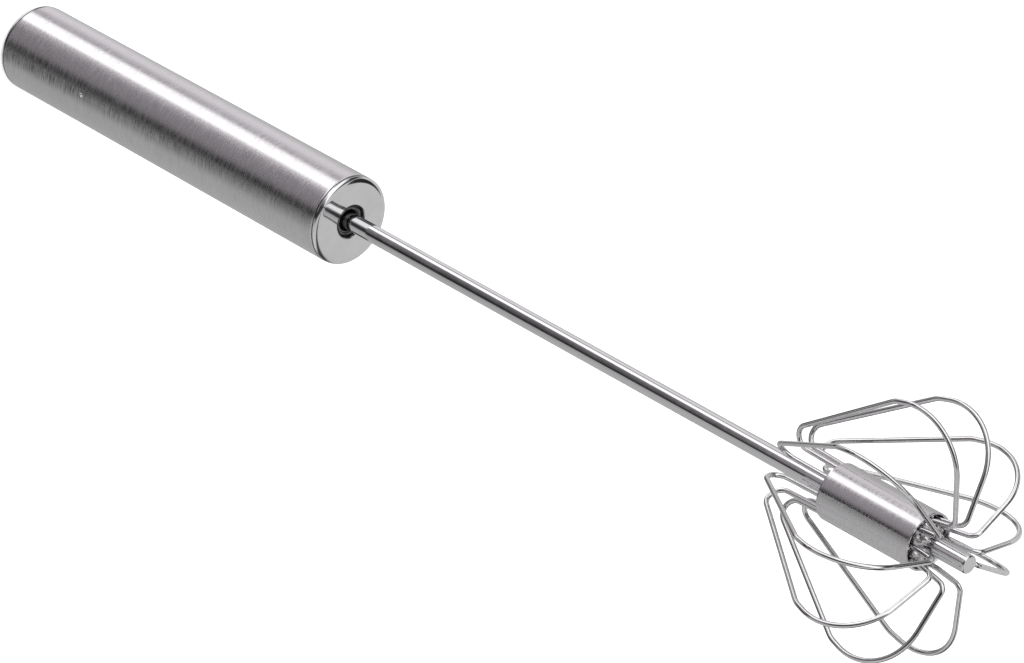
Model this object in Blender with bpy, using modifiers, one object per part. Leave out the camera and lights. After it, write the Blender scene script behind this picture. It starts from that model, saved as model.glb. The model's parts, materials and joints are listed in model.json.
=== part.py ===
"""A push-down rotary egg beater, standing on the closed end of its handle with its whisk head up.

The origin is the centre of the handle's closed end and +Z runs along the axis to the tip of the shaft.
Dimensions are in millimetres and become metres where a mesh or a curve is made. Pushing the handle
towards the head drives the shaft into the handle. A twisted flat spindle, fixed in the handle, passes
through a slotted nut on the shaft's end and turns it, and a coil spring pushes the shaft out again.
"""

import math

import bmesh
import bpy
from mathutils import Matrix, Vector

MM = 0.001

# Handle: a tube closed by two polished caps.
HANDLE_LENGTH = 122.0
HANDLE_RADIUS = 11.0
HANDLE_WALL = 0.6
HANDLE_BORE = HANDLE_RADIUS - HANDLE_WALL
CAP_RIM = 0.9
CAP_SEAM = 0.25
CAP_INSET = 0.05
CAP_STEP = 0.1
CAP_THICKNESS = 1.4
CAP_SPIGOT = 4.5
CAP_WALL = 0.8
FIT_GAP = 0.3
PLATE_HOLE_RADIUS = 4.15
TUBE_CHAMFER = 0.1
CHAMFER = 0.3

# Stake: a punched dimple that locks the spindle's anchor inside the tube.
STAKE_HEIGHT = 32.5
STAKE_AZIMUTH = -65.0
STAKE_BALL_RADIUS = 0.9
STAKE_DEPTH = 0.25

# Shaft and its travel into the handle.
SHAFT_RADIUS = 2.1
SHAFT_BORE = 1.7
SHAFT_START = 94.1
SHAFT_TIP = 317.0
SHAFT_TIP_EDGE = 0.25
SHAFT_END_WALL = 12.0

# Twisted flat spindle and the nut that it turns.
SPINDLE_WIDTH = 2.6
SPINDLE_THICKNESS = 0.8
SPINDLE_PITCH = 22.0
SPINDLE_TWIST_START = 46.0
SPINDLE_TOP = 110.0
SPINDLE_STEP_ANGLE = 22.0
HEAD_WIDTH = 5.2
HEAD_HEIGHT = 1.4
NUT_START = 92.6
NUT_PLATE = 1.2
NUT_SKIRT = 3.0
NUT_RADIUS = 3.2
NUT_SLOT_WIDTH = 3.3
NUT_SLOT_THICKNESS = 1.5

# Anchor plug, spring and sliding pieces inside the handle.
ANCHOR_START = 26.0
ANCHOR_TOP = 38.0
ANCHOR_BORE = 1.75
ANCHOR_RADIUS = HANDLE_BORE - FIT_GAP
STAKE_GROOVE = 1.2
STAKE_GROOVE_DEPTH = 0.6
STAKE_GROOVE_FLANK = 0.4
WASHER_THICKNESS = 1.0
SPRING_RADIUS = 6.0
SPRING_WIRE = 0.8
SPRING_CLOSED_PITCH = 1.25 * SPRING_WIRE
SPRING_TURNS = 12
SPRING_POINTS_PER_TURN = 14
SEAT_WASHER_RADIUS = 8.0
THRUST_WASHER_RADIUS = 8.5
THRUST_WASHER_OVERLAP = 1.9
THRUST_WASHER_START = NUT_START + NUT_PLATE + NUT_SKIRT - THRUST_WASHER_OVERLAP
SLIDER_CLEARANCE = 0.5
SLIDER_START = NUT_START + NUT_PLATE + NUT_SKIRT + SLIDER_CLEARANCE
SLIDER_LENGTH = 6.4
SLIDER_LAND = 1.8
SLIDER_WAIST_DEPTH = 1.6
SLIDER_WAIST_FLANK = 0.5
COLLAR_RADIUS = 4.0
COLLAR_LENGTH = 1.2
STOP_COLLAR_START = 112.9
BUMPER_START = 114.5
BUMPER_LENGTH = 2.4
BUMPER_RADIUS = 4.4
BUMPER_CHAMFER = 0.6
BUSH_START = 117.3
BUSH_BORE = 2.6
BUSH_RECESS = 0.7

# Whisk head: a ferrule holds ten wire loops round the shaft.
FERRULE_START = 279.5
FERRULE_LENGTH = 26.0
FERRULE_RADIUS = 6.6
FERRULE_WALL = 0.5
FERRULE_CHAMFER = 0.1
CORE_RADIUS = 4.25
CORE_INSET = 2.0
WELD_LENGTH = 4.5
WELD_RADIUS = 4.2
WIRE_RADIUS = 0.6
WIRE_SEAT_RADIUS = 5.15
# Each loop's direction round the shaft, in degrees, and its shift along the shaft. The head is
# assembled by hand, so neither is quite even.
WIRE_LOOPS = (
    (4.0, 1.1),
    (42.0, 1.9),
    (96.0, 1.2),
    (117.5, 0.8),
    (149.5, -0.1),
    (187.0, -0.9),
    (216.0, -1.0),
    (253.0, -1.1),
    (296.5, -0.3),
    (331.5, -0.5),
)
# A loop's corners as (radius, height above the ferrule's lower end), and the bend at each inner corner.
LOOP_CORNERS = (
    (WIRE_SEAT_RADIUS, 7.0),
    (6.0, -17.3),
    (27.2, 13.9),
    (31.9, 31.0),
    (6.3, 33.5),
    (WIRE_SEAT_RADIUS, 27.0),
    (WIRE_SEAT_RADIUS, 17.0),
)
LOOP_BENDS = (2.8, 6.0, 12.6, 2.0, 8.0)
BEND_STEP_ANGLE = 22.0

WIDE_SEGMENTS = 48
ROUND_SEGMENTS = 24
MERGE_DISTANCE = 0.01


def clear_scene():
    for obj in list(bpy.data.objects):
        bpy.data.objects.remove(obj, do_unlink=True)


def new_collection(name):
    collection = bpy.data.collections.new(name)
    bpy.context.scene.collection.children.link(collection)
    return collection


def new_material(name, colour, metallic, roughness):
    material = bpy.data.materials.new(name)
    material.use_nodes = True
    shader = material.node_tree.nodes["Principled BSDF"]
    shader.inputs["Base Color"].default_value = (*colour, 1.0)
    shader.inputs["Metallic"].default_value = metallic
    shader.inputs["Roughness"].default_value = roughness
    return material


clear_scene()
PARTS = new_collection("egg_beater")
CUTTERS = new_collection("cutters")

def new_axis(name, height, parent=None):
    """An empty on a joint's axis. The pieces of the moving body are parented to it."""
    empty = bpy.data.objects.new(name, None)
    empty.empty_display_size = 10 * MM
    empty.location = (0, 0, height * MM)
    PARTS.objects.link(empty)
    if parent:
        empty.parent = parent
        empty.matrix_parent_inverse = Matrix.Translation(-parent.location)
    return empty


PUSH_AXIS = new_axis("push_axis", SLIDER_START)
SPIN_AXIS = new_axis("spin_axis", SHAFT_START, PUSH_AXIS)


def place(obj, axis):
    """Parents a piece to its joint's empty and keeps it where it is."""
    if axis:
        obj.parent = axis
        bpy.context.view_layer.update()
        obj.matrix_parent_inverse = axis.matrix_world.inverted()


def arc(centre_r, centre_z, radius, start, end, steps):
    """Points of a circular arc in a turned profile, with its angles in degrees from the outward direction."""
    points = []
    for step in range(steps + 1):
        angle = math.radians(start + (end - start) * step / steps)
        points.append((centre_r + radius * math.cos(angle), centre_z + radius * math.sin(angle)))
    return points


def turned(name, profile, material, axis=None, segments=ROUND_SEGMENTS):
    """A profile of (radius, height) points turned about the axis. It is closed unless it ends on the axis."""
    on_axis = profile[0][0] == 0
    mesh = bpy.data.meshes.new(name)
    corners = [(radius * MM, 0, height * MM) for radius, height in profile]
    edges = [(index, index + 1) for index in range(len(corners) - 1)]
    if not on_axis:
        edges.append((len(corners) - 1, 0))
    mesh.from_pydata(corners, edges, [])
    obj = bpy.data.objects.new(name, mesh)
    PARTS.objects.link(obj)
    obj.data.materials.append(material)
    screw = obj.modifiers.new("turn", "SCREW")
    screw.steps = segments
    screw.render_steps = segments
    screw.use_merge_vertices = True
    screw.merge_threshold = MERGE_DISTANCE * MM
    screw.use_smooth_shade = True
    place(obj, axis)
    return obj


def ring(name, inner, outer, start, length, material, axis=None, segments=ROUND_SEGMENTS, bevel=0.2):
    """A turned ring with small chamfers on its outer edges."""
    top = start + length
    profile = [
        (inner, top),
        (outer - bevel, top),
        (outer, top - bevel),
        (outer, start + bevel),
        (outer - bevel, start),
        (inner, start),
    ]
    return turned(name, profile, material, axis, segments)


def cut(obj, cutter, name):
    """Subtracts a cutter, which stays hidden in its own collection."""
    cutter.hide_render = True
    cutter.display_type = "WIRE"
    boolean = obj.modifiers.new(name, "BOOLEAN")
    boolean.operation = "DIFFERENCE"
    boolean.solver = "EXACT"
    boolean.object = cutter


def box_cutter(name, size, centre, turn=0.0):
    """A box of size (x, y, z) about centre, turned by some radians about Z."""
    mesh = bpy.data.meshes.new(name)
    build = bmesh.new()
    bmesh.ops.create_cube(build, size=1.0)
    bmesh.ops.scale(build, vec=Vector(size) * MM, verts=build.verts)
    build.to_mesh(mesh)
    build.free()
    obj = bpy.data.objects.new(name, mesh)
    obj.location = Vector(centre) * MM
    obj.rotation_euler = (0, 0, turn)
    CUTTERS.objects.link(obj)
    return obj


def ball_cutter(name, radius, centre):
    mesh = bpy.data.meshes.new(name)
    build = bmesh.new()
    bmesh.ops.create_uvsphere(build, u_segments=16, v_segments=10, radius=radius * MM)
    build.to_mesh(mesh)
    build.free()
    obj = bpy.data.objects.new(name, mesh)
    obj.location = Vector(centre) * MM
    CUTTERS.objects.link(obj)
    return obj


def wire(name, points, radius, sides_resolution, material, axis=None):
    """A round wire along points, in millimetres, closed at both ends."""
    curve = bpy.data.curves.new(name, "CURVE")
    curve.dimensions = "3D"
    curve.bevel_depth = radius * MM
    curve.bevel_resolution = sides_resolution
    curve.use_fill_caps = True
    spline = curve.splines.new("POLY")
    spline.points.add(len(points) - 1)
    for spot, point in zip(spline.points, points):
        spot.co = (*(Vector(point) * MM), 1.0)
    obj = bpy.data.objects.new(name, curve)
    PARTS.objects.link(obj)
    curve.materials.append(material)
    place(obj, axis)
    return obj


def filleted(corners, bends, step_angle):
    """A polyline through corners, with each inner corner rounded to its bend radius."""
    corners = [Vector(corner) for corner in corners]
    points = [corners[0]]
    for before, corner, after, bend in zip(corners, corners[1:], corners[2:], bends):
        back = (before - corner).normalized()
        ahead = (after - corner).normalized()
        half = back.angle(ahead) / 2
        centre = corner + (back + ahead).normalized() * bend / math.sin(half)
        start = corner + back * bend / math.tan(half) - centre
        end = corner + ahead * bend / math.tan(half) - centre
        sweep = start.angle_signed(end)
        steps = max(2, math.ceil(abs(sweep) / math.radians(step_angle)))
        for step in range(steps + 1):
            points.append(centre + Matrix.Rotation(-sweep * step / steps, 2) @ start)
    points.append(corners[-1])
    return points


def twist_angle(height):
    """How far the spindle's flat has turned at a height, in radians, as a right-handed screw."""
    return 2 * math.pi * max(0.0, height - SPINDLE_TWIST_START) / SPINDLE_PITCH


# ---------------------------------------------------------------------------------------------
# Materials

BRUSHED_STEEL = new_material("brushed_steel", (0.55, 0.54, 0.55), 1.0, 0.32)
POLISHED_STEEL = new_material("polished_steel", (0.70, 0.70, 0.71), 1.0, 0.12)
WIRE_STEEL = new_material("wire_steel", (0.66, 0.66, 0.67), 1.0, 0.15)
SPRING_STEEL = new_material("spring_steel", (0.42, 0.43, 0.45), 1.0, 0.30)
WELD_METAL = new_material("weld_metal", (0.72, 0.71, 0.69), 1.0, 0.35)
BLACK_PLASTIC = new_material("black_plastic", (0.015, 0.015, 0.016), 0.0, 0.25)
WHITE_PLASTIC = new_material("white_plastic", (0.78, 0.77, 0.73), 0.0, 0.45)
BLACK_RUBBER = new_material("black_rubber", (0.03, 0.03, 0.03), 0.0, 0.75)


# ---------------------------------------------------------------------------------------------
# Handle

def make_handle_tube():
    bottom = CAP_RIM + CAP_SEAM
    top = HANDLE_LENGTH - CAP_RIM - CAP_SEAM
    tube = ring("handle_tube", HANDLE_BORE, HANDLE_RADIUS, bottom, top - bottom, BRUSHED_STEEL,
                segments=WIDE_SEGMENTS, bevel=TUBE_CHAMFER)
    reach = HANDLE_RADIUS + STAKE_BALL_RADIUS - STAKE_DEPTH
    azimuth = math.radians(STAKE_AZIMUTH)
    centre = (reach * math.cos(azimuth), reach * math.sin(azimuth), STAKE_HEIGHT)
    cut(tube, ball_cutter("stake_punch", STAKE_BALL_RADIUS, centre), "stake_dimple")


def cap_profile(hole):
    """A cap with its face at height 0, its rim rounded, and a spigot below it that enters the tube."""
    spigot = HANDLE_BORE - FIT_GAP
    outer = HANDLE_RADIUS - CAP_INSET
    rim = arc(outer - CAP_RIM, -CAP_RIM, CAP_RIM, 90, 0, 3)
    skirt = [
        (outer - CAP_STEP, -CAP_RIM - CAP_INSET),
        (spigot, -CAP_RIM - CAP_INSET),
        (spigot, -CAP_SPIGOT),
        (spigot - CAP_WALL, -CAP_SPIGOT),
        (spigot - CAP_WALL, -CAP_THICKNESS),
        (hole, -CAP_THICKNESS),
    ]
    return [(hole, 0.0)] + rim + skirt


def make_caps():
    plate = [(radius, HANDLE_LENGTH + height) for radius, height in cap_profile(PLATE_HOLE_RADIUS)]
    turned("front_plate", plate, POLISHED_STEEL, segments=WIDE_SEGMENTS)
    # The closed end is the same pressing with no hole, turned over, so its outline runs the other way.
    rear = [(radius, -height) for radius, height in reversed(cap_profile(0.0))]
    turned("rear_cap", rear, POLISHED_STEEL, segments=WIDE_SEGMENTS)


def make_guide_bush():
    flange = HANDLE_BORE - FIT_GAP - CAP_WALL - FIT_GAP
    shoulder = HANDLE_LENGTH - CAP_THICKNESS - FIT_GAP
    nose = PLATE_HOLE_RADIUS - FIT_GAP
    nose_top = HANDLE_LENGTH - BUSH_RECESS
    profile = [
        (BUSH_BORE + CHAMFER, nose_top),
        (nose - CHAMFER, nose_top),
        (nose, nose_top - CHAMFER),
        (nose, shoulder),
        (flange, shoulder),
        (flange, BUSH_START),
        (BUSH_BORE, BUSH_START),
        (BUSH_BORE, nose_top - CHAMFER),
    ]
    turned("guide_bush", profile, BLACK_PLASTIC)


def make_anchor():
    """The plug that the stake locks in the tube. A slot in its underside keeps the spindle from turning."""
    recess = HEAD_HEIGHT + 2 * FIT_GAP
    groove = ANCHOR_RADIUS - STAKE_GROOVE_DEPTH
    groove_half = STAKE_GROOVE - STAKE_GROOVE_FLANK
    profile = [
        (ANCHOR_BORE, ANCHOR_TOP),
        (ANCHOR_RADIUS - CHAMFER, ANCHOR_TOP),
        (ANCHOR_RADIUS, ANCHOR_TOP - CHAMFER),
        (ANCHOR_RADIUS, STAKE_HEIGHT + STAKE_GROOVE),
        (groove, STAKE_HEIGHT + groove_half),
        (groove, STAKE_HEIGHT - groove_half),
        (ANCHOR_RADIUS, STAKE_HEIGHT - STAKE_GROOVE),
        (ANCHOR_RADIUS, ANCHOR_START + CHAMFER),
        (ANCHOR_RADIUS - CHAMFER, ANCHOR_START),
        (ANCHOR_BORE, ANCHOR_START),
    ]
    anchor = turned("spindle_anchor", profile, WHITE_PLASTIC)
    size = (HEAD_WIDTH + 2 * FIT_GAP, SPINDLE_THICKNESS + 2 * FIT_GAP, 2 * recess)
    cut(anchor, box_cutter("spindle_head_slot", size, (0, 0, ANCHOR_START)), "head_slot")
    ring("anchor_washer", ANCHOR_BORE, ANCHOR_RADIUS, ANCHOR_START - FIT_GAP - WASHER_THICKNESS,
         WASHER_THICKNESS, SPRING_STEEL)
    ring("spring_seat_washer", ANCHOR_BORE, SEAT_WASHER_RADIUS, ANCHOR_TOP + FIT_GAP,
         WASHER_THICKNESS, SPRING_STEEL)


def make_spindle():
    """A flat strip with a T head, extruded upwards in short steps that each turn a little."""
    build = bmesh.new()
    half_thickness = SPINDLE_THICKNESS / 2
    base = ANCHOR_START + FIT_GAP
    outline = [(1, 1), (-1, 1), (-1, -1), (1, -1)]
    corners = [
        build.verts.new(Vector((side * HEAD_WIDTH / 2, front * half_thickness, base)) * MM)
        for side, front in outline
    ]
    face = build.faces.new(corners)

    def extrude(face, rise, turn=0.0, narrowing=1.0):
        grown = bmesh.ops.extrude_face_region(build, geom=[face])["geom"]
        verts = [item for item in grown if isinstance(item, bmesh.types.BMVert)]
        bmesh.ops.scale(build, vec=(narrowing, 1, 1), verts=verts)
        bmesh.ops.rotate(build, verts=verts, cent=(0, 0, 0), matrix=Matrix.Rotation(turn, 3, "Z"))
        bmesh.ops.translate(build, verts=verts, vec=(0, 0, rise * MM))
        if any(len(edge.link_faces) > 2 for edge in face.edges):
            build.faces.remove(face)
        return next(item for item in grown if isinstance(item, bmesh.types.BMFace))

    face = extrude(face, HEAD_HEIGHT)
    face = extrude(face, 0.0, narrowing=SPINDLE_WIDTH / HEAD_WIDTH)
    face = extrude(face, SPINDLE_TWIST_START - base - HEAD_HEIGHT)
    twisted = SPINDLE_TOP - SPINDLE_TWIST_START
    steps = math.ceil(twist_angle(SPINDLE_TOP) / math.radians(SPINDLE_STEP_ANGLE))
    for _ in range(steps):
        face = extrude(face, twisted / steps, turn=twist_angle(SPINDLE_TOP) / steps)
    bmesh.ops.recalc_face_normals(build, faces=build.faces)
    mesh = bpy.data.meshes.new("drive_spindle")
    build.to_mesh(mesh)
    build.free()
    spindle = bpy.data.objects.new("drive_spindle", mesh)
    PARTS.objects.link(spindle)
    mesh.materials.append(SPRING_STEEL)


def make_spring():
    """A compression spring with one closed turn at each end."""
    low = ANCHOR_TOP + FIT_GAP + WASHER_THICKNESS + FIT_GAP + SPRING_WIRE / 2
    high = THRUST_WASHER_START - FIT_GAP - SPRING_WIRE / 2
    active_pitch = (high - low - 2 * SPRING_CLOSED_PITCH) / (SPRING_TURNS - 2)
    points = []
    for step in range(SPRING_TURNS * SPRING_POINTS_PER_TURN + 1):
        turn = step / SPRING_POINTS_PER_TURN
        closed_turns = min(turn, 1.0) + max(0.0, turn - (SPRING_TURNS - 1))
        height = low + closed_turns * SPRING_CLOSED_PITCH + (turn - closed_turns) * active_pitch
        angle = 2 * math.pi * turn
        points.append((SPRING_RADIUS * math.cos(angle), SPRING_RADIUS * math.sin(angle), height))
    wire("return_spring", points, SPRING_WIRE / 2, 1, SPRING_STEEL)


def make_handle():
    make_handle_tube()
    make_caps()
    make_guide_bush()
    make_anchor()
    make_spindle()
    make_spring()
    ring("bumper_ring", BUSH_BORE, BUMPER_RADIUS, BUMPER_START, BUMPER_LENGTH, BLACK_RUBBER,
         bevel=BUMPER_CHAMFER)


# ---------------------------------------------------------------------------------------------
# Carriage: slides in the handle with the shaft but doesn't turn

def make_carriage():
    ring("thrust_washer", NUT_RADIUS + FIT_GAP, THRUST_WASHER_RADIUS, THRUST_WASHER_START,
         WASHER_THICKNESS, SPRING_STEEL, PUSH_AXIS)
    outer = HANDLE_BORE - FIT_GAP
    inner = SHAFT_RADIUS + FIT_GAP
    waist = outer - SLIDER_WAIST_DEPTH
    top = SLIDER_START + SLIDER_LENGTH
    profile = [
        (inner, top),
        (outer - CHAMFER, top),
        (outer, top - CHAMFER),
        (outer, top - SLIDER_LAND),
        (waist, top - SLIDER_LAND - SLIDER_WAIST_FLANK),
        (waist, SLIDER_START + SLIDER_LAND + SLIDER_WAIST_FLANK),
        (outer, SLIDER_START + SLIDER_LAND),
        (outer, SLIDER_START + CHAMFER),
        (outer - CHAMFER, SLIDER_START),
        (inner, SLIDER_START),
    ]
    turned("slider", profile, WHITE_PLASTIC, PUSH_AXIS)


# ---------------------------------------------------------------------------------------------
# Shaft and whisk head: slide and turn together

def make_shaft_tube():
    """A tube with a solid end, so that its bore is open only at the nut."""
    top = [(0.0, SHAFT_TIP)]
    edge = arc(SHAFT_RADIUS - SHAFT_TIP_EDGE, SHAFT_TIP - SHAFT_TIP_EDGE, SHAFT_TIP_EDGE, 90, 0, 2)
    bore_end = SHAFT_TIP - SHAFT_END_WALL
    rest = [
        (SHAFT_RADIUS, SHAFT_START),
        (SHAFT_BORE, SHAFT_START),
        (SHAFT_BORE, bore_end),
        (0.0, bore_end),
    ]
    turned("shaft_tube", top + edge + rest, POLISHED_STEEL, SPIN_AXIS)


def make_nut():
    """A slotted cup on the shaft's inner end. The slot lies along the spindle's flat at its own height."""
    plate_top = NUT_START + NUT_PLATE
    skirt_top = plate_top + NUT_SKIRT
    inner = SHAFT_RADIUS + FIT_GAP
    profile = [
        (inner, skirt_top),
        (NUT_RADIUS, skirt_top),
        (NUT_RADIUS, NUT_START + CHAMFER),
        (NUT_RADIUS - CHAMFER, NUT_START),
        (0.0, NUT_START),
    ]
    nut = turned("drive_nut", [(0.0, plate_top), (inner, plate_top)] + profile, SPRING_STEEL, SPIN_AXIS)
    middle = NUT_START + NUT_PLATE / 2
    size = (NUT_SLOT_WIDTH, NUT_SLOT_THICKNESS, 3 * NUT_PLATE)
    cut(nut, box_cutter("nut_slot", size, (0, 0, middle), twist_angle(middle)), "slot")


def make_shaft():
    make_shaft_tube()
    make_nut()
    bore = SHAFT_RADIUS + FIT_GAP
    slider_top = SLIDER_START + SLIDER_LENGTH
    ring("slider_collar", bore, COLLAR_RADIUS, slider_top + FIT_GAP, COLLAR_LENGTH, SPRING_STEEL, SPIN_AXIS)
    ring("stop_collar", bore, COLLAR_RADIUS, STOP_COLLAR_START, COLLAR_LENGTH, SPRING_STEEL, SPIN_AXIS)


def make_ferrule():
    top = FERRULE_START + FERRULE_LENGTH
    ring("ferrule", FERRULE_RADIUS - FERRULE_WALL, FERRULE_RADIUS, FERRULE_START, FERRULE_LENGTH,
         BRUSHED_STEEL, SPIN_AXIS, segments=WIDE_SEGMENTS, bevel=FERRULE_CHAMFER)
    bore = SHAFT_RADIUS + FIT_GAP
    ring("ferrule_core", bore, CORE_RADIUS, FERRULE_START + CORE_INSET, FERRULE_LENGTH - 2 * CORE_INSET,
         SPRING_STEEL, SPIN_AXIS)
    low = top - CORE_INSET + FIT_GAP
    bulge = (WELD_RADIUS - bore) / 2
    flank = arc(bore + bulge, low + WELD_LENGTH - bulge, bulge, 90, 0, 4)
    profile = [(bore, low + WELD_LENGTH)] + flank + [(WELD_RADIUS, low), (bore, low)]
    turned("weld_ring", profile, WELD_METAL, SPIN_AXIS)


def make_wires():
    for number, (azimuth, shift) in enumerate(WIRE_LOOPS, start=1):
        direction = Vector((math.cos(math.radians(azimuth)), math.sin(math.radians(azimuth)), 0))
        outline = filleted(LOOP_CORNERS, LOOP_BENDS, BEND_STEP_ANGLE)
        last = len(outline) - 1
        points = []
        for index, (radius, height) in enumerate(outline):
            lift = FERRULE_START + height + (shift if 0 < index < last else 0.0)
            points.append(direction * radius + Vector((0, 0, lift)))
        wire(f"whisk_wire_{number:02d}", points, WIRE_RADIUS, 2, WIRE_STEEL, SPIN_AXIS)


make_handle()
make_carriage()
make_shaft()
make_ferrule()
make_wires()
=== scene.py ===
"""Looks of the push-down egg beater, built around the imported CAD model.

Heights and outer radii come from the frame's own boxes, in metres. Each piece is remade with a finer
mesh over its CAD solid, apart from the slider, the spindle's anchor and the drive nut.
"""

import json
import math

import bmesh
import bpy
from mathutils import Matrix, Vector, noise


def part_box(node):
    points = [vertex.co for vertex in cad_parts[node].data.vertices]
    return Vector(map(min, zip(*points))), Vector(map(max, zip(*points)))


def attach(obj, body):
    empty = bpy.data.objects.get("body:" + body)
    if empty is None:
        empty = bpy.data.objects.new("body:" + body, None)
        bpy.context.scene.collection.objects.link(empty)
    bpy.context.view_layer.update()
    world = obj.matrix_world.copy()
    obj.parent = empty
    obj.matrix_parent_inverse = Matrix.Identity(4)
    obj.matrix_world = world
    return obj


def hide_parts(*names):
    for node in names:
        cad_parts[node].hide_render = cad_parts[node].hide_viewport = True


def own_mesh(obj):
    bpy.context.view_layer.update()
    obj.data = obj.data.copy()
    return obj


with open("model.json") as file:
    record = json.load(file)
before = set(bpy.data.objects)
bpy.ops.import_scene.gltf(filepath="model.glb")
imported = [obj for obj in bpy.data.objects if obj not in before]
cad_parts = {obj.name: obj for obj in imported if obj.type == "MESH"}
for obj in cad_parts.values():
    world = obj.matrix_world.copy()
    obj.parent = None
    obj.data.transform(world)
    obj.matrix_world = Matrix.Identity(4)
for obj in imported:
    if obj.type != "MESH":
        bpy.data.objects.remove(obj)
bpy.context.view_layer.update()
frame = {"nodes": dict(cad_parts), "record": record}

MM = 0.001
BEHAVIOUR = frame["record"]["behaviour"]


# ---------------------------------------------------------------------------------------------
# Places and sizes read from the frame

def span(node):
    """(lowest z, highest z, largest radius) of a CAD node."""
    low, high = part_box(node)
    return low.z, high.z, max(high.x, -low.x)


TUBE_LOW, TUBE_HIGH, HANDLE_RADIUS = span("handle_tube")
PLATE_LOW, PLATE_FACE, PLATE_RADIUS = span("front_plate")
CAP_RADIUS = span("rear_cap")[2]
BUSH_LOW, BUSH_FACE, BUSH_RADIUS = span("guide_bush")
SHAFT_LOW, SHAFT_TIP, SHAFT_RADIUS = span("shaft_tube")
FERRULE_LOW, FERRULE_HIGH, FERRULE_RADIUS = span("ferrule")
CORE_LOW, CORE_HIGH, CORE_RADIUS = span("ferrule_core")
WELD_LOW = span("weld_ring")[0]
SPRING_LOW, SPRING_HIGH, SPRING_OUTER = span("return_spring")
SPINDLE_LOW, SPINDLE_HIGH, SPINDLE_HALF = span("drive_spindle")


# ---------------------------------------------------------------------------------------------
# Mesh helpers

# A ring of points this far from a rounded edge keeps the long face beyond it evenly shaded.
HOLD = 0.3 * MM
# How many sides most turned pieces have.
SEGMENTS = 96


def arc(centre_r, centre_z, radius, start, end, steps):
    """Points (r, z) of an arc, its angles in degrees from the outward direction."""
    points = []
    for step in range(steps + 1):
        angle = math.radians(start + (end - start) * step / steps)
        points.append((centre_r + radius * math.cos(angle), centre_z + radius * math.sin(angle)))
    return points


def lathe(name, profile, segments, shape=None):
    """A mesh turned about Z from (r, z) points that run down the outer side.

    The outline closes on itself unless it starts on the axis. shape(r, angle, z) may move a point.
    """
    build = bmesh.new()
    rings = []
    for radius, height in profile:
        if radius < 1e-9:
            rings.append([build.verts.new((0, 0, height))])
            continue
        ring = []
        for step in range(segments):
            angle = 2 * math.pi * step / segments
            r, z = shape(radius, angle, height) if shape else (radius, height)
            ring.append(build.verts.new((r * math.cos(angle), r * math.sin(angle), z)))
        rings.append(ring)
    pairs = list(zip(rings, rings[1:]))
    if len(rings[0]) > 1:
        pairs.append((rings[-1], rings[0]))
    for upper, lower in pairs:
        for step in range(segments):
            after = (step + 1) % segments
            corners = [upper[step % len(upper)], lower[step % len(lower)],
                       lower[after % len(lower)], upper[after % len(upper)]]
            corners = list(dict.fromkeys(corners))
            if len(corners) > 2:
                build.faces.new(corners)
    bmesh.ops.recalc_face_normals(build, faces=build.faces)
    mesh = bpy.data.meshes.new(name)
    build.to_mesh(mesh)
    build.free()
    return mesh


def sweep(name, points, radius, sides):
    """A round wire along points, with flat ends."""
    path = [Vector(point) for point in points]
    build = bmesh.new()
    tangent = (path[1] - path[0]).normalized()
    normal = tangent.orthogonal().normalized()
    rings = []
    for index, point in enumerate(path):
        before = path[max(index - 1, 0)]
        after = path[min(index + 1, len(path) - 1)]
        ahead = (after - before).normalized()
        normal = (tangent.rotation_difference(ahead) @ normal).normalized()
        tangent = ahead
        side = tangent.cross(normal)
        ring = []
        for step in range(sides):
            angle = 2 * math.pi * step / sides
            spoke = normal * math.cos(angle) + side * math.sin(angle)
            ring.append(build.verts.new(point + spoke * radius))
        rings.append(ring)
    for lower, upper in zip(rings, rings[1:]):
        for step in range(sides):
            after = (step + 1) % sides
            build.faces.new([lower[step], lower[after], upper[after], upper[step]])
    build.faces.new(rings[0][::-1])
    build.faces.new(rings[-1])
    bmesh.ops.recalc_face_normals(build, faces=build.faces)
    mesh = bpy.data.meshes.new(name)
    build.to_mesh(mesh)
    build.free()
    return mesh


def filleted(corners, bends, step_angle):
    """A flat polyline through corners, with each inner corner rounded to its bend radius."""
    corners = [Vector(corner) for corner in corners]
    points = [corners[0]]
    for before, corner, after, bend in zip(corners, corners[1:], corners[2:], bends):
        back = (before - corner).normalized()
        ahead = (after - corner).normalized()
        half = back.angle(ahead) / 2
        centre = corner + (back + ahead).normalized() * bend / math.sin(half)
        start = corner + back * bend / math.tan(half) - centre
        end = corner + ahead * bend / math.tan(half) - centre
        sweep_angle = start.angle_signed(end)
        steps = max(2, math.ceil(abs(sweep_angle) / math.radians(step_angle)))
        for step in range(steps + 1):
            points.append(centre + Matrix.Rotation(-sweep_angle * step / steps, 2) @ start)
    points.append(corners[-1])
    return points


# ---------------------------------------------------------------------------------------------
# Materials

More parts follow.
